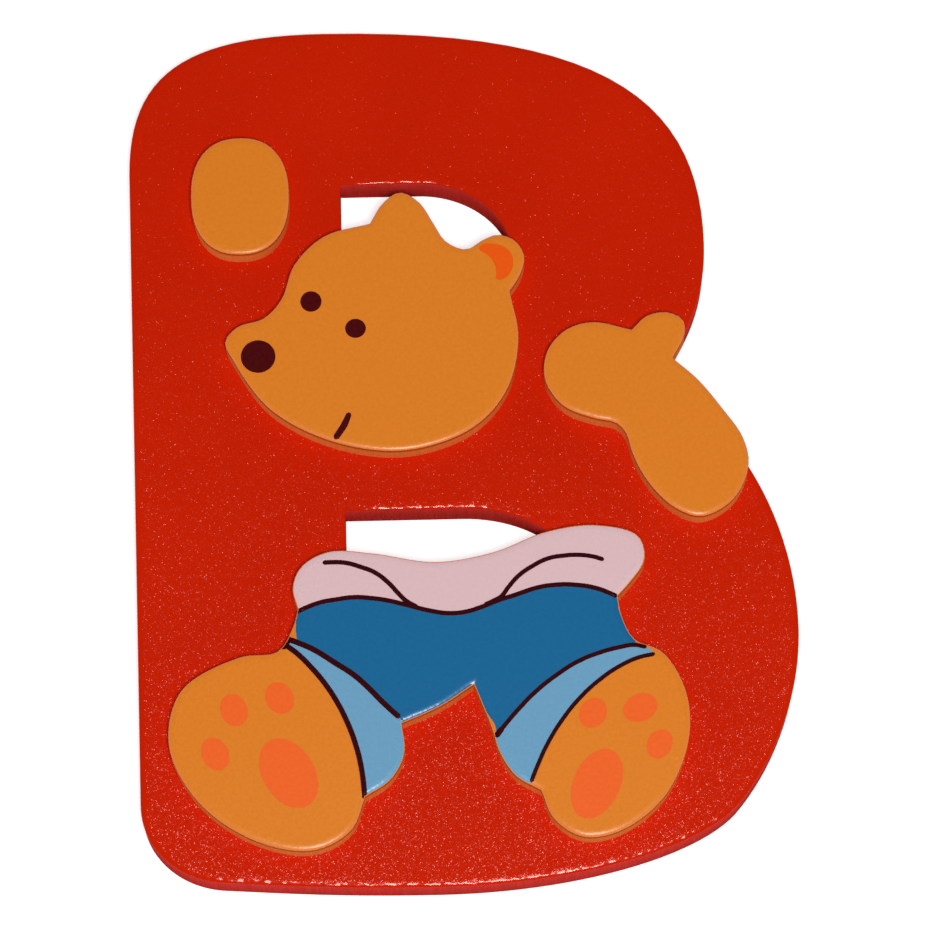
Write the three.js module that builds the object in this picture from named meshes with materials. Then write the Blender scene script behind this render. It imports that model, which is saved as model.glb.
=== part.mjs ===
// A child's wooden letter B: a lacquered board with a teddy bear glued to its front in four cut-outs.
// Millimetres. The letter lies on its back: +X is its right, +Y its top, and +Z points out of its front.
// The origin is at the middle of the back face.
import * as THREE from 'three';

// Letter: its strokes and its counters, the two holes, add up to its width and height.
const BOARD_THICKNESS = 5;
const BOARD_EDGE_ROUND = 0.5;
const STEM_WIDTH = 21.8;
const STEM_LEAN = 0.7; // the stem's outer edge stands this much further out at the top
const TOP_BAR_DEPTH = 16.5;
const UPPER_COUNTER_WIDTH = 17.8;
const UPPER_COUNTER_HEIGHT = 16.4;
const UPPER_COUNTER_ROUND = 9.8; // run of the round end
const UPPER_BOWL_WALL = 19.7; // from the counter's round end to the outermost point
const UPPER_BOWL_RISE = 1.1; // outermost point above the counter's middle
const MIDDLE_BAR_DEPTH = 18.3;
const WAIST_WALL = 14.3; // from the upper counter's round end to the notch between the bowls
const WAIST_RISE = 3.7; // notch above the middle of the middle bar
const LOWER_COUNTER_WIDTH = 24.5;
const LOWER_COUNTER_HEIGHT = 18.3;
const LOWER_COUNTER_ROUND = 12.5;
const LOWER_BOWL_WALL = 21.4;
const LOWER_BOWL_DROP = 4; // outermost point below the counter's middle
const BOTTOM_BAR_DEPTH = 20.8;
const TOP_CORNER_RUN = 20.2; // rounded top left corner, along the top and down the stem
const TOP_CORNER_DROP = 14.9;
const BOTTOM_CORNER_RADIUS = 8.1;
const BOTTOM_EDGE_BOW = 0.9; // bottom edge at its lowest, below the bottom left corner
const BOTTOM_EDGE_RUN = 30.7; // from the stem to the lowest point
const SHOULDER_IN = 6.9; // lower bowl's bottom right shoulder, in from the right and up from below
const SHOULDER_UP = 7.6;

// Bear: overall sizes of the cut-outs, and how each one lies on the letter.
const CUTOUT_THICKNESS = 3;
const CUTOUT_EDGE_ROUND = 0.45;
const HEAD_WIDTH = 30.85;
const HEAD_HEIGHT = 27.45;
const EAR_PAST_COUNTER = 1.1; // round ear, beyond the upper counter's round end
const EAR_TIP_BELOW_BAR = 1.8; // pointed ear's tip, below the top bar
const PAW_WIDTH = 10.1;
const PAW_HEIGHT = 12.5;
const PAW_SQUARENESS = 2.35; // exponent of its oval: 2 is an ellipse
const PAW_INSET = 6.5; // from the stem's outer edge
const PAW_BELOW_TOP = 12.1;
const ARM_WIDTH = 20.65;
const ARM_HEIGHT = 21.6;
const ARM_PAST_COUNTER = 2.8; // round paw, beyond the upper counter's round end
const THUMB_ABOVE_WAIST = 6.7;
const LOWER_BODY_WIDTH = 52.6;
const LOWER_BODY_HEIGHT = 33;
const FOOT_OVER_STEM = 18.1; // left foot, out over the stem from the lower counter
const SHIRT_BELOW_BAR = 2.7; // top of the shirt, below the middle bar

// Fineness of the facets
const LETTER_CURVE_STEPS = 24; // on each curve of the letter
const CUTOUT_STEP = 0.7; // along the outlines of the bear
const EDGE_ROUND_STEPS = 2;
const MEASURING_STEPS = 100; // on each stretch of an outline, to find its width and height

// Places that several pieces share
const letterWidth = STEM_WIDTH + LOWER_COUNTER_WIDTH + LOWER_BOWL_WALL;
const letterHeight =
  TOP_BAR_DEPTH + UPPER_COUNTER_HEIGHT + MIDDLE_BAR_DEPTH + LOWER_COUNTER_HEIGHT + BOTTOM_BAR_DEPTH;
const left = -letterWidth / 2;
const right = letterWidth / 2;
const top = letterHeight / 2;
const bottom = -letterHeight / 2;
const stemInside = left + STEM_WIDTH;
const upperCounterTop = top - TOP_BAR_DEPTH;
const upperCounterEnd = stemInside + UPPER_COUNTER_WIDTH;
const middleBarTop = upperCounterTop - UPPER_COUNTER_HEIGHT;
const lowerCounterTop = middleBarTop - MIDDLE_BAR_DEPTH;
const waist = new THREE.Vector2(
  upperCounterEnd + WAIST_WALL,
  (middleBarTop + lowerCounterTop) / 2 + WAIST_RISE,
);

// Outlines of the bear, drawn by hand as smooth stretches that meet at corners. Only their proportions
// count: each outline is fitted to the width and height of its piece.
const headOutline = [
  // pointed ear, the dip of the crown and the round ear
  [[-8.9, 23.6], [-7.6, 25.7], [-5.8, 26.9], [-3.8, 25.8], [-2.3, 23.4], [-1.1, 21.5], [1, 20.6],
    [2.8, 21.6], [4.3, 22.1], [6.1, 21.4], [7, 19.7], [6.5, 17.7], [5.4, 16]],
  // back of the head, chin, snout and brow
  [[5.4, 16], [6.2, 11], [4.9, 5.5], [1.3, 1.5], [-5.6, -0.75], [-13, 0.3], [-19.5, 3.9], [-23.25, 9.2],
    [-24.05, 11.2], [-22.7, 12.8], [-20.1, 13.6], [-18.2, 15.6], [-16.8, 19.3], [-13.7, 22.3], [-8.9, 23.6]],
];
const armOutline = [
  // thumb
  [[17.5, 11.7], [19, 13.1], [21, 13.5], [22.7, 12.7], [22.9, 11.2], [21.6, 8.6]],
  // forearm, elbow and round paw
  [[21.6, 8.6], [24.1, 6.3], [26.5, 3.2], [28.5, 0.1], [29, -2.8], [27.4, -6.3], [24.1, -8.1], [21.3, -7.1],
    [18.6, -4.2], [17.2, -1.3], [16.6, 0.8], [15.6, 1.9], [13.5, 2.4], [10.3, 3.8], [8.5, 6.6], [8.8, 9.6],
    [10.7, 11.8], [13.5, 12.6], [17.5, 11.7]],
];
const lowerBodyOutline = [
  // shirt
  [[-16.7, -16.8], [-17.2, -14.6], [-16.3, -12.4], [-13.5, -10.9], [-8.9, -11.2], [-2.8, -12.2], [3.2, -11.3],
    [8.5, -9.3], [13.5, -8.7], [17.8, -9.9], [18.4, -12.4], [16.9, -14.7], [15.6, -16.1]],
  // right trouser leg and foot
  [[15.6, -16.1], [15.9, -18], [17.1, -20.5], [20, -22], [22.2, -26.1], [22.3, -31], [19.8, -36.6],
    [15.4, -40], [11.5, -40.6], [8.6, -38.7], [7.4, -35.8]],
  // right turn-up and inner leg
  [[7.4, -35.8], [4.9, -34.3], [3.3, -31.8], [2.6, -29.4], [0.9, -24.9]],
  // left inner leg
  [[0.9, -24.9], [-2.6, -27.1], [-6.4, -28.7]],
  // left turn-up
  [[-6.4, -28.7], [-6.2, -31.8], [-7.6, -34.4], [-10.2, -36.1]],
  // left foot and trouser leg
  [[-10.2, -36.1], [-11.6, -39.4], [-15.4, -41.4], [-21.1, -40.4], [-26.8, -36.4], [-29.8, -30.5],
    [-28.5, -24.9], [-22.6, -21.6], [-18.8, -21.1], [-17.2, -18.6], [-16.7, -16.8]],
];

// Draws a curve on from the end of a path. It leaves along `lead` and comes in along `trail`, each as
// fractions of the run across and the run up.
function curveOn(path, x, y, lead, trail) {
  const from = path.currentPoint;
  const across = x - from.x;
  const up = y - from.y;
  path.bezierCurveTo(
    from.x + lead[0] * across,
    from.y + lead[1] * up,
    x - trail[0] * across,
    y - trail[1] * up,
    x,
    y,
  );
}

// A counter: square against the stem and round at its other end. It turns the other way round than the
// letter's outline, as a hole does.
function counterPath(counterTop, width, height, round) {
  const path = new THREE.Path();
  const middle = counterTop - height / 2;
  const roundStart = stemInside + width - round;
  path.moveTo(stemInside, counterTop);
  path.lineTo(stemInside, counterTop - height);
  path.absellipse(roundStart, middle, round, height / 2, -Math.PI / 2, Math.PI / 2);
  path.closePath();
  return path;
}

function letterShape() {
  const shape = new THREE.Shape();
  const upperBowlEnd = upperCounterEnd + UPPER_BOWL_WALL;
  const upperBowlMiddle = upperCounterTop - UPPER_COUNTER_HEIGHT / 2 + UPPER_BOWL_RISE;
  const lowerBowlMiddle = lowerCounterTop - LOWER_COUNTER_HEIGHT / 2 - LOWER_BOWL_DROP;
  const stemFoot = left + STEM_LEAN;
  const cornerFloor = bottom + BOTTOM_EDGE_BOW;
  shape.moveTo(left, top - TOP_CORNER_DROP);
  curveOn(shape, left + TOP_CORNER_RUN, top, [0, 0.73], [0.71, 0]);
  curveOn(shape, upperBowlEnd, upperBowlMiddle, [0.8, 0], [0, 0.6]);
  curveOn(shape, waist.x, waist.y, [0, 0.44], [0.58, 0.34]);
  curveOn(shape, right, lowerBowlMiddle, [0.47, 0.1], [0, 0.49]);
  curveOn(shape, right - SHOULDER_IN, bottom + SHOULDER_UP, [0, 0.4], [0.55, 0.23]);
  curveOn(shape, left + BOTTOM_EDGE_RUN, bottom, [0.14, 0.57], [0.45, 0]);
  curveOn(shape, stemFoot + BOTTOM_CORNER_RADIUS, cornerFloor, [0.45, 0], [0.3, 0.5]);
  curveOn(shape, stemFoot, cornerFloor + BOTTOM_CORNER_RADIUS, [0.55, 0.05], [0, 0.55]);
  shape.closePath();
  shape.holes.push(
    counterPath(upperCounterTop, UPPER_COUNTER_WIDTH, UPPER_COUNTER_HEIGHT, UPPER_COUNTER_ROUND),
    counterPath(lowerCounterTop, LOWER_COUNTER_WIDTH, LOWER_COUNTER_HEIGHT, LOWER_COUNTER_ROUND),
  );
  return shape;
}

// Draws smooth curves through the stretches of an outline, with a point about every CUTOUT_STEP, and
// fits it to a box whose top left corner is the origin.
function cutoutShape(stretches, width, height) {
  const traced = stretches.flatMap((stretch) => smooth(stretch).getPoints(MEASURING_STEPS));
  const drawn = new THREE.Box3().setFromPoints(traced);
  const size = drawn.getSize(new THREE.Vector3());
  const fit = ([x, y]) => [((x - drawn.min.x) * width) / size.x, ((y - drawn.max.y) * height) / size.y];
  const points = stretches.flatMap((stretch) => {
    const curve = smooth(stretch.map(fit));
    const steps = Math.max(2, Math.round(curve.getLength() / CUTOUT_STEP));
    return curve.getSpacedPoints(steps).slice(0, -1);
  });
  return new THREE.Shape(points.map((point) => new THREE.Vector2(point.x, point.y)));
}

function smooth(stretch) {
  const points = stretch.map(([x, y]) => new THREE.Vector3(x, y, 0));
  return new THREE.CatmullRomCurve3(points, false, 'centripetal');
}

// The oval paw, in a box whose top left corner is the origin.
function pawShape() {
  const steps = Math.round((Math.PI * (PAW_WIDTH + PAW_HEIGHT)) / 2 / CUTOUT_STEP);
  const spread = (value) => Math.sign(value) * Math.abs(value) ** (2 / PAW_SQUARENESS);
  const points = Array.from({ length: steps }, (_, step) => {
    const turn = (2 * Math.PI * (step + 0.5)) / steps;
    return new THREE.Vector2(
      (PAW_WIDTH / 2) * (1 + spread(Math.cos(turn))),
      (PAW_HEIGHT / 2) * (spread(Math.sin(turn)) - 1),
    );
  });
  return new THREE.Shape(points);
}

// A board of the given outline with its back at z = 0 and rounded edges. On a piece that is glued on,
// the back edge stays square.
function boardFrom(shape, thickness, edgeRound, squareBack) {
  const geometry = new THREE.ExtrudeGeometry(shape, {
    depth: thickness - edgeRound * (squareBack ? 1 : 2),
    bevelThickness: edgeRound,
    bevelSize: edgeRound,
    bevelOffset: -edgeRound,
    bevelSegments: EDGE_ROUND_STEPS,
    curveSegments: LETTER_CURVE_STEPS,
  });
  if (!squareBack) {
    return geometry.translate(0, 0, edgeRound);
  }
  const position = geometry.getAttribute('position');
  for (let i = 0; i < position.count; i += 1) {
    position.setZ(i, Math.max(0, position.getZ(i)));
  }
  geometry.computeVertexNormals();
  return geometry;
}

function paint(color, roughness) {
  return new THREE.MeshStandardMaterial({ color, roughness, metalness: 0 });
}

const letter = new THREE.Group();

const board = new THREE.Mesh(
  boardFrom(letterShape(), BOARD_THICKNESS, BOARD_EDGE_ROUND, false),
  paint(0xbe2006, 0.3),
);
board.name = 'letter_board';
letter.add(board);

// Glues a cut-out to the front of the letter, by the left and the top of its outline.
function glueOn(name, shape, leftEdge, topEdge) {
  const cutout = new THREE.Mesh(
    boardFrom(shape, CUTOUT_THICKNESS, CUTOUT_EDGE_ROUND, true),
    paint(0xd77e25, 0.45),
  );
  cutout.name = name;
  cutout.position.set(leftEdge, topEdge, BOARD_THICKNESS);
  letter.add(cutout);
}

glueOn(
  'bear_head',
  cutoutShape(headOutline, HEAD_WIDTH, HEAD_HEIGHT),
  upperCounterEnd + EAR_PAST_COUNTER - HEAD_WIDTH,
  upperCounterTop - EAR_TIP_BELOW_BAR,
);
glueOn('bear_left_paw', pawShape(), left + PAW_INSET, top - PAW_BELOW_TOP);
glueOn(
  'bear_right_arm',
  cutoutShape(armOutline, ARM_WIDTH, ARM_HEIGHT),
  upperCounterEnd + ARM_PAST_COUNTER,
  waist.y + THUMB_ABOVE_WAIST,
);
glueOn(
  'bear_lower_body',
  cutoutShape(lowerBodyOutline, LOWER_BODY_WIDTH, LOWER_BODY_HEIGHT),
  stemInside - FOOT_OVER_STEM,
  lowerCounterTop - SHIRT_BELOW_BAR,
);

export default letter;
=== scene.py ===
# %% [markdown]
# # A child's wooden letter with a teddy bear
# The object is a door letter: a letter B sawn from 5 mm board and lacquered red, with a bear glued
# to its front in four cut-outs of 3 mm board. The bear's clothes, eyes and paw pads are printed on.
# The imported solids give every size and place. This lesson makes the fine surface: edges that are
# sanded round, paint that follows them, and lacquer with the small faults that real lacquer has.

# %% Load the solids
import math

import bmesh
import bpy
from mathutils import Matrix, Vector


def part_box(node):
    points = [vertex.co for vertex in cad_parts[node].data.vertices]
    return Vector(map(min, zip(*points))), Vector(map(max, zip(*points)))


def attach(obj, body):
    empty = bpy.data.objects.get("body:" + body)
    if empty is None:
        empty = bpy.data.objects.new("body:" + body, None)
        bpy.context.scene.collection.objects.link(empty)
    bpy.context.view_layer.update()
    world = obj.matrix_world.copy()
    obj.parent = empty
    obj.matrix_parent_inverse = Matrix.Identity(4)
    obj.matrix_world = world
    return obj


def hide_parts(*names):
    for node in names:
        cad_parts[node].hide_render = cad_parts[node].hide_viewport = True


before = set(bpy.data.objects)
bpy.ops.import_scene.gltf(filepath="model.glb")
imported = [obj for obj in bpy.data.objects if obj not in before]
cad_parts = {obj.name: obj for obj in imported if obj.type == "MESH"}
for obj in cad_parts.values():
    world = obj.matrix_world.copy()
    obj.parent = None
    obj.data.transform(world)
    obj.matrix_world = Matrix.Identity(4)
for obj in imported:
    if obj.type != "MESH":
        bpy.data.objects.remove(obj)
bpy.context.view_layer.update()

MM = 0.001
print("solids:", sorted(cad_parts))

# %% [markdown]
# ## The camera
# The letter lies on its back and is looked at from above, a little from below its foot, through a
# long lens that keeps its edges nearly parallel. The camera could be aimed with a constraint, but a
# turn about two axes says plainly how it stands: tipped from straight down, and rolled a touch.

# %% Camera above the letter
LOOKED_AT = Vector((0.25, -1.467, 5.0)) * MM
CAMERA_DISTANCE = 602.7 * MM
CAMERA_TILT = math.radians(14)
CAMERA_ROLL = math.radians(-1.2)
SENSOR_WIDTH = 36
LENS = 228.3
NEAREST_SEEN = 10 * MM

camera_data = bpy.data.cameras.new("camera")
camera_data.sensor_width = SENSOR_WIDTH
camera_data.lens = LENS
camera_data.clip_start = NEAREST_SEEN
camera = bpy.data.objects.new("camera", camera_data)
camera.matrix_world = (
    Matrix.Translation(LOOKED_AT)
    @ Matrix.Rotation(CAMERA_TILT, 4, "X")
    @ Matrix.Rotation(CAMERA_ROLL, 4, "Z")
    @ Matrix.Translation((0, 0, CAMERA_DISTANCE))
)
bpy.context.scene.collection.objects.link(camera)
bpy.context.scene.camera = camera
bpy.context.scene.view_settings.view_transform = "Standard"
print("camera at", [round(c / MM) for c in camera.matrix_world.translation], "mm")

# %% [markdown]
# ## Small tools for colours and nodes
# Colours are written as the sRGB hex values that a colour picker shows, and the shader needs them
# linear, so one function turns them. Every material is a few nodes, so one function adds a node,
# sets its values and links what feeds it. A texture's scale is one over the length of its pattern.


# %% Colour and node helpers
def linear(hex_colour):
    """An sRGB hex colour as the linear red, green, blue and alpha that a shader reads."""
    channels = [int(hex_colour[place:place + 2], 16) / 255 for place in (1, 3, 5)]
    bent = [c / 12.92 if c <= 0.04045 else ((c + 0.055) / 1.055) ** 2.4 for c in channels]
    return (*bent, 1.0)


def add_node(tree, kind, settings=None, inputs=None):
    """Adds a node. A value in inputs is set on its socket, and an output socket is linked to it."""
    node = tree.nodes.new(kind)
    for name, value in (settings or {}).items():
        setattr(node, name, value)
    for name, value in (inputs or {}).items():
        if isinstance(value, bpy.types.NodeSocket):
            tree.links.new(value, node.inputs[name])
        else:
            node.inputs[name].default_value = value
    return node


def new_material(name):
    """An empty node material: its tree, its Principled shader and its object coordinates."""
    material = bpy.data.materials.new(name)
    material.use_nodes = True
    shader = material.node_tree.nodes["Principled BSDF"]
    place = add_node(material.node_tree, "ShaderNodeTexCoord").outputs["Object"]
    return material, shader, place


def levelness(tree):
    """How level the surface is: 1 where it lies flat, and 0 where it stands upright."""
    facing = add_node(tree, "ShaderNodeTexCoord").outputs["Normal"]
    return add_node(tree, "ShaderNodeSeparateXYZ", inputs={"Vector": facing}).outputs["Z"]


print("middle grey, linear:", round(linear("#808080")[0], 3))

# %% [markdown]
# ## Red lacquer
# The letter is sprayed with gloss lacquer over sealed board. A sprayed coat levels out, but not
# quite: it keeps a soft ripple like the skin of an orange, a millimetre or so from crest to crest,
# and over it a fine grain of droplets that had begun to dry. The ripple breaks up the shine along
# the rounded edges. Each droplet dried at a tilt of its own, so a few of them mirror the lamp and
# spark, and the sparks come and go with the view. Both only bend the surface's normal, as they are
# far too low to change the outline: the ripple as bump, the droplets as cells with a random tilt.
# On the sanded rounds the coat runs into glossy beads: it is smoother there, its ripple is higher,
# and the droplets fade out. The slope of the surface says where the rounds are.

# %% Sizes of the lacquer's faults
LACQUER_IOR = 1.5
LACQUER_SHINE = 0.16
CLOUD_LENGTH = 14 * MM
RIPPLE_LENGTH = 1.1 * MM
RIPPLE_HEIGHT = 0.1 * MM
DROPLET_SIZE = 0.07 * MM

# How level the surface is where the rounds end and where the flats begin.
ROUNDS_END = 0.99
FLATS_BEGIN = 0.9995

# Each is a value on the rounds and a value on the flats.
LACQUER_ROUGHNESS = (0.14, 0.2)
RIPPLE_STRENGTH = (1.0, 0.35)
DROPLET_TILT = (0.0, 0.7)
print("droplets to a millimetre:", round(MM / DROPLET_SIZE))


# %% Red lacquer
def droplet_lean(tree, place, tilt):
    """A random lean for each droplet, times its own length: most lie nearly level, and few tilt."""
    droplets = add_node(tree, "ShaderNodeTexVoronoi", inputs={
        "Vector": place, "Scale": 1 / DROPLET_SIZE})
    lean = add_node(tree, "ShaderNodeVectorMath", {"operation": "SUBTRACT"}, {
        0: droplets.outputs["Color"], 1: (0.5, 0.5, 0.5)})
    amount = add_node(tree, "ShaderNodeVectorMath", {"operation": "LENGTH"}, {
        0: lean.outputs["Vector"]})
    strength = add_node(tree, "ShaderNodeMath", {"operation": "MULTIPLY"}, {
        0: amount.outputs["Value"], 1: tilt})
    return add_node(tree, "ShaderNodeVectorMath", {"operation": "SCALE"}, {
        0: lean.outputs["Vector"], "Scale": strength.outputs["Value"]}).outputs["Vector"]


def red_lacquer():
    material, shader, place = new_material("red_gloss_lacquer")
    tree = material.node_tree
    shader.inputs["IOR"].default_value = LACQUER_IOR
    shader.inputs["Specular IOR Level"].default_value = LACQUER_SHINE
    shader.inputs["Specular Tint"].default_value = linear("#ffbeb2")

    # The pigment floats a little unevenly in the coat.
    cloud = add_node(tree, "ShaderNodeTexNoise", inputs={
        "Vector": place, "Scale": 1 / CLOUD_LENGTH, "Detail": 3.0})
    colour = add_node(tree, "ShaderNodeValToRGB", inputs={"Fac": cloud.outputs["Fac"]})
    for stop, shade in zip(colour.color_ramp.elements, ("#ba1b02", "#c52103")):
        stop.color = linear(shade)
    tree.links.new(colour.outputs["Color"], shader.inputs["Base Color"])

    level = levelness(tree)
    roughness, ripple_strength, tilt = [
        add_node(tree, "ShaderNodeMapRange", inputs={
            "Value": level, "From Min": ROUNDS_END, "From Max": FLATS_BEGIN,
            "To Min": on_rounds, "To Max": on_flats}).outputs["Result"]
        for on_rounds, on_flats in (LACQUER_ROUGHNESS, RIPPLE_STRENGTH, DROPLET_TILT)
    ]
    tree.links.new(roughness, shader.inputs["Roughness"])
    ripple = add_node(tree, "ShaderNodeTexNoise", inputs={
        "Vector": place, "Scale": 1 / RIPPLE_LENGTH, "Detail": 1.0})
    ripple_bump = add_node(tree, "ShaderNodeBump", inputs={
        "Height": ripple.outputs["Fac"], "Distance": RIPPLE_HEIGHT, "Strength": ripple_strength})
    tilted = add_node(tree, "ShaderNodeVectorMath", {"operation": "ADD"}, {
        0: ripple_bump.outputs["Normal"], 1: droplet_lean(tree, place, tilt)})
    normal = add_node(tree, "ShaderNodeVectorMath", {"operation": "NORMALIZE"}, {
        0: tilted.outputs["Vector"]})
    tree.links.new(normal.outputs["Vector"], shader.inputs["Normal"])
    return material


LACQUER = red_lacquer()
print("made", LACQUER.name)

# %% [markdown]
# ## Dull sawn edges
# The sawn sides of the boards are open pores that drink the paint, so they dry dull, with the fine
# upright scratches of the saw. A noise that is drawn out along the board's thickness gives the
# scratches, where an image of wood would have to be wrapped round the outline. Both sides are also
# painted paler than their faces, a painted fill light for sides that the lamp hardly reaches. On the
# bear the side carries a painted reflection of the red board around it, and at its top a darker
# band of painted shade, just under its front edge.

# %% Dull sawn edges
SAWN_ROUGHNESS = 0.75
SAW_MARK_WIDTH = 0.25 * MM
SAW_MARK_RUN = 6.0 * MM
SAW_MARK_HEIGHT = 0.01 * MM
# The painted shade band on the bear's side: how far it fades down, and how far below the front it is
# full.
SHADE_BAND_LENGTH = 0.9 * MM
SHADE_BAND_BELOW_FRONT = 0.3 * MM

# Noise keeps mostly to its middle values, so a paint's two shades are set there.
NOISE_RANGE = (0.3, 0.7)


def sawn_edge(name, low, high, shade_band=None, shade_band_top=None):
    """A dull side in two shades, painted pale as fill light. A band of painted shade hangs from a
    height.
    """
    material, shader, place = new_material(name)
    tree = material.node_tree
    shader.inputs["Roughness"].default_value = SAWN_ROUGHNESS
    shader.inputs["Specular IOR Level"].default_value = 0.0
    upright = add_node(tree, "ShaderNodeMapping", inputs={
        "Vector": place, "Scale": (1.0, 1.0, SAW_MARK_WIDTH / SAW_MARK_RUN)})
    marks = add_node(tree, "ShaderNodeTexNoise", inputs={
        "Vector": upright.outputs["Vector"], "Scale": 1 / SAW_MARK_WIDTH, "Detail": 2.0})
    colour = add_node(tree, "ShaderNodeValToRGB", inputs={"Fac": marks.outputs["Fac"]})
    for stop, position, shade in zip(colour.color_ramp.elements, NOISE_RANGE, (low, high)):
        stop.position = position
        stop.color = linear(shade)
    paint = colour.outputs["Color"]
    # A darker band at the top of the side is painted shade.
    if shade_band:
        height = add_node(tree, "ShaderNodeSeparateXYZ", inputs={"Vector": place}).outputs["Z"]
        amount = add_node(tree, "ShaderNodeMapRange", {"interpolation_type": "SMOOTHSTEP"}, {
            "Value": height, "From Min": shade_band_top - SHADE_BAND_LENGTH, "From Max": shade_band_top})
        paint = add_node(tree, "ShaderNodeMix", {"data_type": "RGBA"}, {
            "Factor": amount.outputs["Result"], "A": paint, "B": linear(shade_band)}).outputs["Result"]
    tree.links.new(paint, shader.inputs["Base Color"])
    bump = add_node(tree, "ShaderNodeBump", inputs={
        "Height": marks.outputs["Fac"], "Distance": SAW_MARK_HEIGHT, "Strength": 1.0})
    tree.links.new(bump.outputs["Normal"], shader.inputs["Normal"])
    return material


bear_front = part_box("bear_head")[1].z
# The sides' paler shades are painted fill light, and the orange side holds a painted red reflection.
RED_EDGE_WITH_PAINTED_FILL = sawn_edge("dull_red_sawn_edge_painted_fill", "#d4352e", "#de3f38")
ORANGE_EDGE_WITH_PAINTED_LIGHT = sawn_edge(
    "dull_orange_sawn_edge_painted_light", "#e87c3a", "#f08844",
    shade_band="#b04c10", shade_band_top=bear_front - SHADE_BAND_BELOW_FRONT)
print("made", RED_EDGE_WITH_PAINTED_FILL.name, "and", ORANGE_EDGE_WITH_PAINTED_LIGHT.name)

# %% [markdown]
# ## Satin paints
# The bear is screen-printed and brushed in satin paints, which scatter the light more than lacquer.
# Each paint is one colour with a faint, fine mottle where the pigment is thicker or thinner, and a
# skin with a very low ripple. Its shine takes up some of the colour. All of them are mixed from the
# same base, so one function makes them, and only the colours and the gloss differ. On the bear's own
# orange the sanded edge carries a paler painted highlight along the round, and its foot, where the
# edge turns down, is painted darker as shade. The slope of the surface says where that edge is.

# %% Satin paints
PAINT_IOR = 1.48
PAINT_SHINE = 0.26
SHINE_TINT = 0.4
MOTTLE_LENGTH = 0.35 * MM
SKIN_RIPPLE_LENGTH = 0.5 * MM
SKIN_RIPPLE_HEIGHT = 0.012 * MM

# Bands of painted highlight and painted shade on the sanded edge, by levelness: start, full, end.
PAINTED_HIGHLIGHT_BAND = (0.7, 0.86, 0.985)
PAINTED_SHADE_BAND = (0.0, 0.3, 0.78)


def satin_paint(name, thin, thick, roughness, shine=PAINT_SHINE, edge_highlight=None, foot=None):
    """A paint in two shades. A painted highlight and painted shade for the sanded edge go together."""
    material, shader, place = new_material(name)
    tree = material.node_tree
    shader.inputs["Roughness"].default_value = roughness
    shader.inputs["IOR"].default_value = PAINT_IOR
    shader.inputs["Specular IOR Level"].default_value = shine
    shader.inputs["Specular Tint"].default_value = [
        1 - SHINE_TINT * (1 - channel) for channel in linear(thick)]
    mottle = add_node(tree, "ShaderNodeTexNoise", inputs={
        "Vector": place, "Scale": 1 / MOTTLE_LENGTH, "Detail": 4.0})
    colour = add_node(tree, "ShaderNodeValToRGB", inputs={"Fac": mottle.outputs["Fac"]})
    for stop, position, shade in zip(colour.color_ramp.elements, NOISE_RANGE, (thin, thick)):
        stop.position = position
        stop.color = linear(shade)
    paint = colour.outputs["Color"]
    if edge_highlight:
        paint = paint_edge_highlight_and_shade(tree, paint, linear(edge_highlight), linear(foot))
    tree.links.new(paint, shader.inputs["Base Color"])
    skin = add_node(tree, "ShaderNodeTexNoise", inputs={
        "Vector": place, "Scale": 1 / SKIN_RIPPLE_LENGTH, "Detail": 1.0})
    bump = add_node(tree, "ShaderNodeBump", inputs={
        "Height": skin.outputs["Fac"], "Distance": SKIN_RIPPLE_HEIGHT, "Strength": 1.0})
    tree.links.new(bump.outputs["Normal"], shader.inputs["Normal"])
    return material


def paint_edge_highlight_and_shade(tree, paint, edge_highlight, foot):
    """Paints light into the edge: a paler painted highlight on the round, painted shade at its foot.
    """
    level = levelness(tree)
    for tint, positions in ((edge_highlight, PAINTED_HIGHLIGHT_BAND), (foot, PAINTED_SHADE_BAND)):
        band = add_node(tree, "ShaderNodeValToRGB", inputs={"Fac": level})
        band.color_ramp.elements.new(positions[1])
        for stop, position, amount in zip(band.color_ramp.elements, positions, (0, 1, 0)):
            stop.position = position
            stop.color = (amount, amount, amount, 1)
        paint = add_node(tree, "ShaderNodeMix", {"data_type": "RGBA"}, {
            "Factor": band.outputs["Color"], "A": paint, "B": tint}).outputs["Result"]
    return paint


# %% The colours of the bear
# The bear's orange has a painted highlight on its sanded edge and painted shade at the edge's foot.
BEAR = satin_paint(
    "honey_orange_satin_paint", "#d27620", "#d87c25", 0.27, edge_highlight="#dc7a4c", foot="#b2541a")
SHIRT = satin_paint("off_white_satin_paint", "#d2afb3", "#d5b3b7", 0.32)
TROUSERS = satin_paint("blue_satin_paint", "#155f8d", "#196390", 0.22, shine=0.45)
TURN_UP = satin_paint("light_blue_satin_paint", "#6496b7", "#6a9cbb", 0.22, shine=0.45)
PADS = satin_paint("coral_satin_paint", "#e35c1c", "#e76222", 0.32)
INNER_EAR_PAINT = satin_paint("deep_orange_satin_paint", "#e15208", "#e5580c", 0.32)
FACE_DOTS = satin_paint("maroon_satin_paint", "#3e0408", "#4a080b", 0.35, shine=0.1)
LINES = satin_paint("dark_brown_satin_paint", "#2a0207", "#36040b", 0.35, shine=0.08)
print("made", len(bpy.data.materials), "materials so far")

# %% [markdown]
# ## Sawn boards with sanded edges
# Each piece of the real letter is sawn along an outline from flat board, and then its edges are
# sanded round. The same is done here. A cut through the solid's wall at half height gives its exact
# outline, which is filled, extruded to the board's thickness and rounded over by insetting the face
# a little and lifting it, step by step along a quarter of an ellipse: sandpaper wears an edge further
# in over the face than down the side. A bevel would make a round one, and insets also turn the tight
# corners and the two holes of the letter cleanly.

# %% Sawing out a board
MERGE = 0.001 * MM


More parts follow.
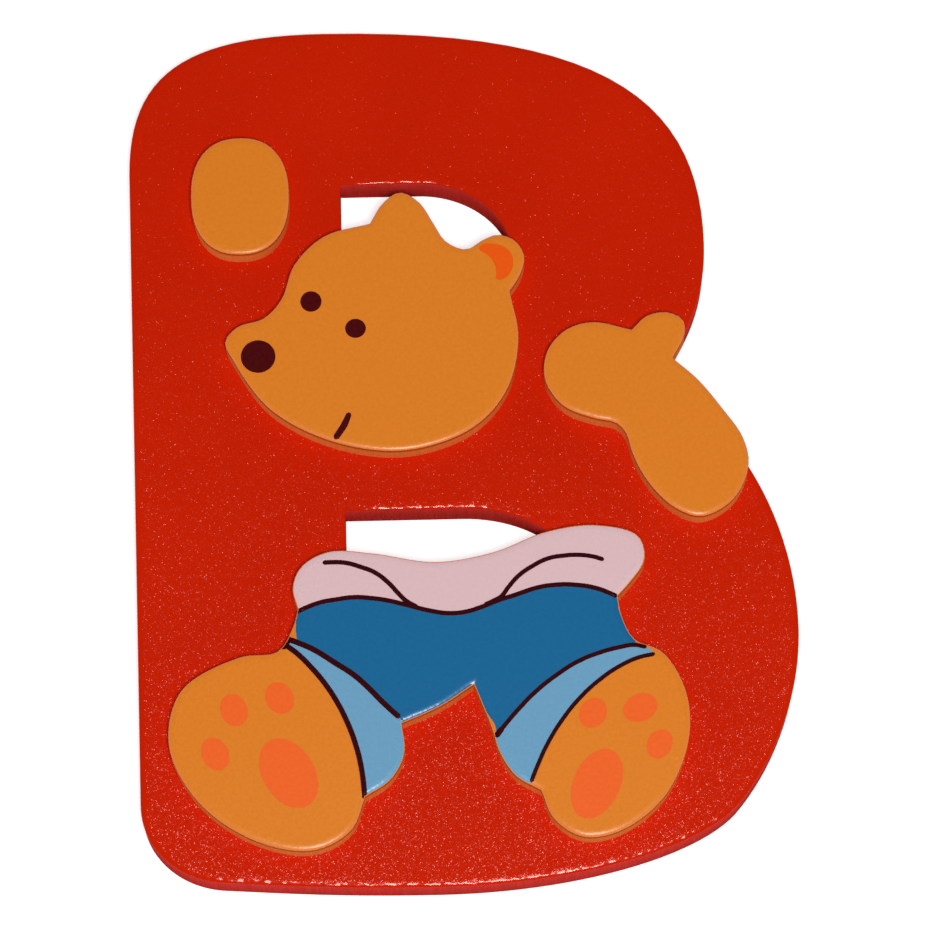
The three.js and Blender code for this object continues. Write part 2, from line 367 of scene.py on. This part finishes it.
def sawn_outline(node):
    """A flat filled face with the outline, and the holes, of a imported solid."""
    low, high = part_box(node)
    bm = bmesh.new()
    bm.from_mesh(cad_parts[node].data)
    bmesh.ops.remove_doubles(bm, verts=bm.verts, dist=MERGE)
    bmesh.ops.bisect_plane(
        bm,
        geom=bm.verts[:] + bm.edges[:] + bm.faces[:],
        plane_co=(low + high) / 2,
        plane_no=(0, 0, 1),
        clear_inner=True,
        clear_outer=True,
    )
    bmesh.ops.triangle_fill(bm, edges=bm.edges[:], use_beauty=True, normal=(0, 0, 1))
    return bm


def set_height(bm, height):
    """Lays a flat face at a height."""
    bmesh.ops.scale(bm, verts=bm.verts, vec=(1, 1, 0))
    bmesh.ops.translate(bm, verts=bm.verts, vec=(0, 0, height))


def raise_walls(bm, height):
    """Extrudes a flat face up, and gives the faces of its new top."""
    made = bmesh.ops.extrude_face_region(bm, geom=bm.faces[:])["geom"]
    top = [part for part in made if isinstance(part, bmesh.types.BMFace)]
    lift(bm, top, height)
    return top


def lift(bm, faces, height):
    """Moves faces up, or down where the height is negative."""
    verts = list({vert: None for face in faces for vert in face.verts})
    bmesh.ops.translate(bm, verts=verts, vec=(0, 0, height))


print("points closer than", MERGE / MM, "mm are merged")

# %% Sanding its edges
ROUND_STEPS = 8
FLAT_RIM = 0.06 * MM


def inset(bm, faces, width):
    """Draws a rim inside a region's edge. The region's own faces stay inside the rim."""
    made = bmesh.ops.inset_region(
        bm, faces=faces, thickness=width, use_even_offset=True, use_boundary=True)
    return made["faces"]


def round_over(bm, faces, reach, drop, outward=1, start=0.0):
    """Sands a region's edge along a quarter ellipse: so far in over the face, so far down the side."""
    turns = [start + (math.pi / 2 - start) * step / ROUND_STEPS for step in range(ROUND_STEPS + 1)]
    for before, after in zip(turns, turns[1:]):
        inset(bm, faces, reach * (math.cos(before) - math.cos(after)))
        lift(bm, faces, outward * drop * (math.sin(after) - math.sin(before)))
    inset(bm, faces, FLAT_RIM)


print("an edge is rounded in", ROUND_STEPS, "steps")

# %% Placing a finished piece
SHARP_FROM = math.radians(38)
LEVEL = 0.9999
WALL_TILT = 0.2


def finish_piece(bm, name, material):
    """Turns the faces outwards and places the piece."""
    bmesh.ops.recalc_face_normals(bm, faces=bm.faces)
    mesh = bpy.data.meshes.new(name)
    bm.to_mesh(mesh)
    bm.free()
    return place_piece(mesh, name, material)


def place_piece(mesh, name, material):
    """Shades the rounds smooth and the level faces flat, and puts the piece on the letter."""
    mesh.shade_smooth()
    mesh.set_sharp_from_angle(angle=SHARP_FROM)
    for face in mesh.polygons:
        if abs(face.normal.z) > LEVEL:
            face.use_smooth = False
    mesh.materials.clear()
    mesh.materials.append(material)
    piece = bpy.data.objects.new(name, mesh)
    bpy.context.scene.collection.objects.link(piece)
    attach(piece, "root")
    print(name, len(mesh.polygons), "faces,", [round(side / MM, 1) for side in piece.dimensions], "mm")
    return piece


def leave_sawn(piece, material):
    """Gives a board's upright sides the dull sawn finish."""
    piece.data.materials.append(material)
    for face in piece.data.polygons:
        if abs(face.normal.z) < WALL_TILT:
            face.material_index = 1


print("edges sharper than", round(math.degrees(SHARP_FROM)), "degrees stay sharp")

# %% [markdown]
# ## The letter board
# The board is sanded on both faces, a little more than the thin cut-outs are. Its back is as flat
# and as red as its front, since such letters are dipped or sprayed all round. The solid could be
# shown as it is, but its round is coarse, and the shine along the edge would show each facet.

# %% The letter board
BOARD_REACH = 0.8 * MM
BOARD_DROP = 0.18 * MM

board_low, board_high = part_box("letter_board")
board = sawn_outline("letter_board")
set_height(board, board_low.z + BOARD_DROP)
board_back = board.faces[:]
board_front = raise_walls(board, board_high.z - board_low.z - 2 * BOARD_DROP)
round_over(board, board_front, BOARD_REACH, BOARD_DROP)
round_over(board, board_back, BOARD_REACH, BOARD_DROP, outward=-1)
letter = finish_piece(board, "letter", LACQUER)
leave_sawn(letter, RED_EDGE_WITH_PAINTED_FILL)
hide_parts("letter_board")

# %% [markdown]
# ## The bear's four cut-outs
# These are thinner, with a finer edge, and square behind where they are glued on. They are sawn and
# sanded as the letter is, so one function makes all four, and only their outlines differ.

# %% The bear's cut-outs
CUTOUT_REACH = 0.7 * MM
CUTOUT_DROP = 0.2 * MM


def cutout(node, name):
    """A cut-out of the bear, made from the outline of its solid."""
    low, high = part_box(node)
    bm = sawn_outline(node)
    set_height(bm, low.z)
    front = raise_walls(bm, high.z - low.z - CUTOUT_DROP)
    round_over(bm, front, CUTOUT_REACH, CUTOUT_DROP)
    piece = finish_piece(bm, name, BEAR)
    leave_sawn(piece, ORANGE_EDGE_WITH_PAINTED_LIGHT)
    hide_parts(node)


for node in ("bear_head", "bear_left_paw", "bear_right_arm", "bear_lower_body"):
    cutout(node, node.replace("bear", "painted"))

# %% [markdown]
# ## Printing on the rounded cut-outs
# The clothes, the outlines and the pads are thin paint that runs over the sanded edge. A flat patch
# would hang in the air there, and a painted mask in the material could not be lifted off or
# repainted. So each paint is a film of its own. A blank with the cut-out's own rounded top, a hair
# higher, is cut to shape by a stamp: the printed shape, pushed through it like a pastry cutter. The
# cut is a Boolean intersection, so the film bends over the edge exactly as the wood does.

# %% Blanks of paint
FILM = 0.02 * MM
LINE_FILM = 0.035 * MM
BARE_RIM = 0.1 * MM
SOAKED_IN = 0.08 * MM


def plain_object(bm, name):
    """An object that is no piece of the letter: a blank, a stamp or the floor."""
    mesh = bpy.data.meshes.new(name)
    bm.to_mesh(mesh)
    bm.free()
    thing = bpy.data.objects.new(name, mesh)
    bpy.context.scene.collection.objects.link(thing)
    return thing


def film_blank(node, thickness):
    """A blank of paint with the cut-out's rounded top."""
    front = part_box(node)[1].z
    reach = CUTOUT_REACH + thickness
    drop = CUTOUT_DROP + thickness
    start = math.acos((CUTOUT_REACH - BARE_RIM) / reach)
    edge_height = front - CUTOUT_DROP + drop * math.sin(start)
    bm = sawn_outline(node)
    rim = inset(bm, bm.faces[:], BARE_RIM)
    bmesh.ops.delete(bm, geom=rim, context="FACES")
    set_height(bm, edge_height - SOAKED_IN)
    top = raise_walls(bm, SOAKED_IN)
    round_over(bm, top, reach, drop, start=start)
    bmesh.ops.recalc_face_normals(bm, faces=bm.faces)
    return plain_object(bm, node + "_blank")


def pressed(blank, stamp, name, material):
    """The film that a stamp cuts from a blank."""
    cut = blank.modifiers.new("cut", "BOOLEAN")
    cut.operation = "INTERSECT"
    cut.solver = "EXACT"
    cut.object = stamp
    cut.use_self = True
    graph = bpy.context.evaluated_depsgraph_get()
    mesh = bpy.data.meshes.new_from_object(blank.evaluated_get(graph))
    mesh.name = name
    blank.modifiers.remove(cut)
    bpy.data.objects.remove(stamp)
    return place_piece(mesh, name, material)


print("films of paint are", FILM / MM, "mm thick, and lines", LINE_FILM / MM, "mm")

# %% [markdown]
# ## Stamps for areas, dots and lines
# An area is a flat closed curve through listed points, filled and extruded. A dot is a circle
# stretched to an oval. A line is a thin tube along a curve, drawn out in height so that it cuts as a
# ribbon with straight sides. The tube's radius can differ along the line, as a pen line does.

# %% Curves on the plan of the prints
STAMP_DEPTH = 0.6 * MM
CURVE_STEPS = 6

# The prints were drawn in millimetres on a plan whose origin lies just off the letter's.
PLAN_SCALE = 1.0045
PLAN_ORIGIN = Vector((0.1, 0.15))


def on_letter(x, y):
    """A point of the plan in metres on the letter."""
    return (Vector((x, y)) - PLAN_ORIGIN) * PLAN_SCALE * MM


def plan_curve(name, strokes, closed):
    """A curve through plan points. A stroke is a list of (x, y) or (x, y, thickness) points."""
    data = bpy.data.curves.new(name, "CURVE")
    data.dimensions = "2D" if closed else "3D"
    data.resolution_u = CURVE_STEPS
    for stroke in strokes:
        spline = data.splines.new("BEZIER")
        spline.use_cyclic_u = closed
        spline.bezier_points.add(len(stroke) - 1)
        for point, (x, y, *thickness) in zip(spline.bezier_points, stroke):
            point.co = (*on_letter(x, y), 0)
            point.handle_left_type = point.handle_right_type = "AUTO"
            point.radius = thickness[0] if thickness else 1
    return data


def curve_bmesh(data):
    """A curve's mesh, with its doubles merged."""
    thing = bpy.data.objects.new(data.name, data)
    bpy.context.scene.collection.objects.link(thing)
    graph = bpy.context.evaluated_depsgraph_get()
    bm = bmesh.new()
    bm.from_mesh(bpy.data.meshes.new_from_object(thing.evaluated_get(graph)))
    bpy.data.objects.remove(thing)
    bmesh.ops.remove_doubles(bm, verts=bm.verts, dist=MERGE)
    return bm


print("the plan's origin lies at", [round(c / MM, 2) for c in on_letter(0, 0)], "mm")

# %% Making stamps
PEN_TIP = 0.35
PEN_SIDES = 4
PEN_STRETCH = 8
DOT_SIDES = 64


def area_stamp(name, area, front):
    """A prism over a closed outline, through the front of a cut-out."""
    data = plan_curve(name, [area], True)
    data.fill_mode = "BOTH"
    bm = curve_bmesh(data)
    set_height(bm, front - STAMP_DEPTH)
    raise_walls(bm, 2 * STAMP_DEPTH)
    bmesh.ops.recalc_face_normals(bm, faces=bm.faces)
    return plain_object(bm, name)


def with_pen_tips(stroke, width):
    """A stroke with a short blunt tip past each end, where the pen was set down and lifted."""
    def tip(end, beside):
        away = (Vector(end[:2]) - Vector(beside[:2])).normalized() * width * PEN_TIP
        return (end[0] + away.x, end[1] + away.y, PEN_TIP)
    return [tip(stroke[0], stroke[1]), *stroke, tip(stroke[-1], stroke[-2])]


def line_stamp(name, strokes, width, front):
    """Ribbons along strokes: tubes that are drawn out in height."""
    data = plan_curve(name, [with_pen_tips(stroke, width) for stroke in strokes], False)
    data.bevel_depth = width / 2 * MM
    data.bevel_resolution = PEN_SIDES
    data.use_fill_caps = True
    bm = curve_bmesh(data)
    bmesh.ops.scale(bm, verts=bm.verts, vec=(1, 1, PEN_STRETCH))
    bmesh.ops.translate(bm, verts=bm.verts, vec=(0, 0, front))
    bmesh.ops.recalc_face_normals(bm, faces=bm.faces)
    return plain_object(bm, name)


def dot_stamp(name, dots, front):
    """Oval prisms: each dot is its middle, its two diameters and its turn in degrees."""
    bm = bmesh.new()
    for x, y, across, along, turn in dots:
        spot = (
            Matrix.Translation((*on_letter(x, y), front))
            @ Matrix.Rotation(math.radians(turn), 4, "Z")
            @ Matrix.Diagonal((across / 2 * MM, along / 2 * MM, 2 * STAMP_DEPTH, 1))
        )
        bmesh.ops.create_cone(
            bm, cap_ends=True, segments=DOT_SIDES, radius1=1, radius2=1, depth=1, matrix=spot)
    return plain_object(bm, name)


print("a stamp reaches", STAMP_DEPTH / MM, "mm above and below the front")

# %% [markdown]
# ## The bear's face
# Two eyes, a round nose at the tip of the snout, a short mouth and the deep orange of the round ear.
# They could be balls and tubes, but on the toy they are flat paint, so each is stamped from a blank.

# %% The bear's face
head_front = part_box("bear_head")[1].z
head_blank = film_blank("bear_head", FILM)

EYE_AND_NOSE_DOTS = [
    (-14.97, 15.42, 2.17, 2.17, 0),
    (-10.47, 12.48, 2.12, 2.02, 0),
    (-20.43, 9.72, 3.54, 3.44, 0),
]
MOUTH_WIDTH = 0.7
MOUTH = [(-11.3, 3.4, 0.8), (-11.75, 2.4, 1), (-12.6, 1.1, 0.9)]
INNER_EAR = [
    (2.3, 20.7), (2.7, 21.1), (4.0, 21.1), (5.0, 20.7), (5.6, 20.0), (5.75, 19.3), (5.6, 18.4),
    (5.1, 17.65), (4.0, 17.4), (4.0, 18.0), (3.9, 18.8), (3.5, 19.55), (3.0, 20.1), (2.5, 20.4),
]

pressed(head_blank, dot_stamp("dots", EYE_AND_NOSE_DOTS, head_front),
        "eyes_and_nose", FACE_DOTS)
pressed(head_blank, line_stamp("mouth", [MOUTH], MOUTH_WIDTH, head_front),
        "mouth", FACE_DOTS)
pressed(head_blank, area_stamp("ear", INNER_EAR, head_front),
        "inner_ear", INNER_EAR_PAINT)
bpy.data.objects.remove(head_blank)

# %% [markdown]
# ## The bear's clothes and feet
# The hem of the shirt, the blue trousers and their light turn-ups share outlines, so each area runs
# a little under the dark lines that are printed last and hide the joints between the colours. The
# outlines could be traced for each colour, but drawn once they can't come apart.

# %% Outlines that the clothes share
HEM = [
    (-16.9, -17.0), (-14.6, -16.1), (-12.9, -15.8), (-11.0, -15.6), (-9.6, -15.7), (-7.7, -16.0),
    (-5.8, -16.5), (-3.45, -17.15), (-1.6, -17.45), (0.1, -17.35), (1.7, -16.9), (3.4, -16.25),
    (5.2, -15.7), (7.45, -15.0), (9.3, -14.75), (11.3, -14.8), (13.4, -15.2), (15.3, -16.0),
]
LEFT_TURN_UP_TOP = [
    (-18.0, -19.7), (-16.7, -20.2), (-15.05, -21.0), (-13.1, -22.3), (-11.2, -23.6), (-9.8, -24.9),
    (-8.4, -26.4), (-6.8, -27.95),
]
LEFT_FOOT_EDGE = [
    (-18.0, -20.4), (-16.95, -21.2), (-15.5, -22.7), (-14.1, -24.45), (-12.9, -26.4),
    (-11.95, -28.4), (-11.2, -30.5), (-10.6, -33.1), (-10.3, -36.1),
]
RIGHT_TURN_UP_TOP = [
    (3.0, -30.1), (3.8, -29.1), (5.2, -27.5), (7.0, -25.7), (9.05, -24.1), (11.3, -22.7),
    (13.6, -21.8), (15.6, -21.3), (17.0, -21.1), (18.1, -21.3),
]
RIGHT_FOOT_EDGE = [
    (6.4, -34.75), (7.0, -33.3), (8.1, -31.0), (9.7, -28.5), (11.55, -26.3), (13.6, -24.5),
    (15.6, -23.2), (17.45, -22.4), (18.9, -22.1),
]
print("the hem is", round(HEM[-1][0] - HEM[0][0], 1), "mm wide on the plan")

# %% The bear's clothes
body_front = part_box("bear_lower_body")[1].z
body_blank = film_blank("bear_lower_body", FILM)

# Beyond the cut-out's own edge the areas only have to reach far enough.
SHIRT_AREA = HEM + [(19.5, -15), (20, -8), (0, -7), (-18, -9), (-19, -16)]
TROUSER_AREA = (
    HEM
    + [(15.6, -17.5), (16.4, -19.6), (17.2, -20.9)]
    + RIGHT_TURN_UP_TOP[-2::-1]
    + [(2.95, -29.4), (2.5, -28.4), (1.2, -27.2), (-3, -31)]
    + LEFT_TURN_UP_TOP[:0:-1]
    + [(-16.95, -19.3), (-16.95, -18.2)]
)
LEFT_TURN_UP_AREA = LEFT_TURN_UP_TOP + [(-5, -30), (-5.5, -34), (-9, -37)] + LEFT_FOOT_EDGE[::-1]
RIGHT_TURN_UP_AREA = RIGHT_TURN_UP_TOP + RIGHT_FOOT_EDGE[::-1] + [(5, -36), (2, -33)]

for name, area, paint, slot_name in (
    ("shirt", SHIRT_AREA, SHIRT, "shirt_paint"),
    ("trousers", TROUSER_AREA, TROUSERS, "trouser_paint"),
    ("left_turn_up", LEFT_TURN_UP_AREA, TURN_UP, "turn_up_paint"),
    ("right_turn_up", RIGHT_TURN_UP_AREA, TURN_UP, "turn_up_paint"),
):
    pressed(body_blank, area_stamp(name + "_stamp", area, body_front), name, paint)

# %% The pads of the feet
LEFT_PADS = [
    (-23.3, -26.95, 2.7, 3.4, 20), (-18.7, -25.8, 2.8, 3.4, 25), (-25.2, -31.4, 2.7, 3.5, 25),
    (-17.9, -33.5, 5.2, 7.7, 30),
]
RIGHT_PADS = [
    (12.7, -28.0, 2.7, 3.2, -30), (17.45, -27.55, 2.8, 3.6, -65), (19.3, -31.3, 2.5, 3.1, -30),
    (12.9, -35.2, 4.7, 7.5, -25),
]
for name, pads in (("left_foot_pads", LEFT_PADS), ("right_foot_pads", RIGHT_PADS)):
    pressed(body_blank, dot_stamp(name + "_stamp", pads, body_front), name, PADS)
bpy.data.objects.remove(body_blank)

# %% [markdown]
# ## The dark outlines
# The lines are printed last and a hair thicker, so they lie over the joints of the colours. Each
# could be a film of its own, but where two lines meet their films would lie in the same place and
# flicker, so all of them are one print.

# %% The dark outlines
LINE_WIDTH = 0.52
LEFT_FOLD = [
    (-14.0, -11.95), (-12.0, -12.0), (-10.3, -12.5), (-8.9, -13.1), (-7.55, -14.2), (-6.5, -15.4),
    (-5.8, -16.1), (-4.8, -16.7),
]
RIGHT_FOLD = [
    (14.05, -12.2), (13.1, -11.9), (11.55, -11.7), (10.2, -11.75), (8.6, -12.0), (7.0, -12.75),
    (5.6, -13.7), (4.5, -14.9), (3.8, -15.8), (2.9, -16.3), (2.2, -16.6),
]
LEFT_CORNER = [(-17.6, -19.75), (-18.0, -20.1), (-18.35, -20.6)]
RIGHT_CORNER = [(3.5, -29.45), (3.0, -30.1)]


def drawn(points, thickness):
    """A stroke that is drawn with more or less pressure."""
    return [(x, y, thickness) for x, y in points]


OUTLINES = [
    drawn(HEM, 0.92), drawn(LEFT_FOLD, 0.92), drawn(RIGHT_FOLD, 0.88),
    drawn(LEFT_TURN_UP_TOP, 1.12), drawn(LEFT_FOOT_EDGE, 1.06), drawn(LEFT_CORNER, 1.45),
    drawn(RIGHT_TURN_UP_TOP, 0.88), drawn(RIGHT_FOOT_EDGE, 0.82), drawn(RIGHT_CORNER, 1.15),
]
line_blank = film_blank("bear_lower_body", LINE_FILM)
pressed(line_blank, line_stamp("lines", OUTLINES, LINE_WIDTH, body_front),
        "outlines", LINES)
bpy.data.objects.remove(line_blank)

# %% [markdown]
# ## The floor and the light
# The letter lies on plain paper. The light is a soft lamp close beside the camera, so that the
# shadows are slivers and only the edges which face the foot of the letter shine. The walls of the
# room are pale and its ceiling is dark: the flat lacquer mirrors the ceiling and stays deep red,
# while the pale walls fill the sides of the board. White paper would throw much light back up those
# sides, so the paper is a pale grey. Seen straight on or in a mirror it also glows, as an
# overexposed backdrop does, and it still takes the shadow.

# %% Pale paper floor
FLOOR_SIZE = 3.0
FLOOR_DROP = 0.05 * MM
FLOOR_GLOW = 0.65
PAPER_ROUGHNESS = 0.9

floor_material, floor_shader, _ = new_material("pale_paper_floor")
floor_shader.inputs["Base Color"].default_value = linear("#bfbfbf")
floor_shader.inputs["Roughness"].default_value = PAPER_ROUGHNESS
floor_shader.inputs["Specular IOR Level"].default_value = 0.0
floor_shader.inputs["Emission Color"].default_value = linear("#ffffff")
floor_tree = floor_material.node_tree
seen_by = add_node(floor_tree, "ShaderNodeLightPath").outputs
seen = seen_by["Is Camera Ray"]
for ray in ("Is Glossy Ray", "Is Transmission Ray"):
    seen = add_node(floor_tree, "ShaderNodeMath", {"operation": "MAXIMUM"}, {
        0: seen, 1: seen_by[ray]}).outputs["Value"]
glow = add_node(floor_tree, "ShaderNodeMath", {"operation": "MULTIPLY"}, {0: seen, 1: FLOOR_GLOW})
floor_tree.links.new(glow.outputs["Value"], floor_shader.inputs["Emission Strength"])

floor_bm = bmesh.new()
bmesh.ops.create_grid(floor_bm, x_segments=1, y_segments=1, size=FLOOR_SIZE / 2)
bmesh.ops.translate(floor_bm, verts=floor_bm.verts, vec=(0, 0, -FLOOR_DROP))
floor = plain_object(floor_bm, "floor")
floor.data.materials.append(floor_material)
print("floor of", FLOOR_SIZE, "m")

# %% Soft lamp by the camera
LAMP_PLACE = Vector((24, -165, 590)) * MM
LAMP_SIZE = 105 * MM
LAMP_POWER = 3.25

lamp_data = bpy.data.lights.new("soft_lamp", "AREA")
lamp_data.shape = "DISK"
lamp_data.size = LAMP_SIZE
lamp_data.energy = LAMP_POWER
lamp = bpy.data.objects.new("soft_lamp", lamp_data)
lamp.matrix_world = (
    Matrix.Translation(LAMP_PLACE)
    @ (LAMP_PLACE - LOOKED_AT).to_track_quat("Z", "Y").to_matrix().to_4x4()
)
bpy.context.scene.collection.objects.link(lamp)
print("lamp of", LAMP_POWER, "W")

# %% Pale walls and a dark ceiling
WALL_LIGHT = 1.0
CEILING_LIGHT = 0.02

# Heights on a unit globe round the letter.
WALL_TOP = 0.05
CEILING_START = 0.75

world = bpy.data.worlds.new("pale_room")
world.use_nodes = True
bpy.context.scene.world = world
room = world.node_tree
direction = add_node(room, "ShaderNodeTexCoord").outputs["Generated"]
height = add_node(room, "ShaderNodeSeparateXYZ", inputs={"Vector": direction}).outputs["Z"]
brightness = add_node(room, "ShaderNodeMapRange", {"interpolation_type": "SMOOTHSTEP"}, {
    "Value": height, "From Min": WALL_TOP, "From Max": CEILING_START,
    "To Min": WALL_LIGHT, "To Max": CEILING_LIGHT})
room.nodes["Background"].inputs["Color"].default_value = linear("#ffffff")
room.links.new(brightness.outputs["Result"], room.nodes["Background"].inputs["Strength"])
print("walls of strength", WALL_LIGHT, "and a ceiling of", CEILING_LIGHT)
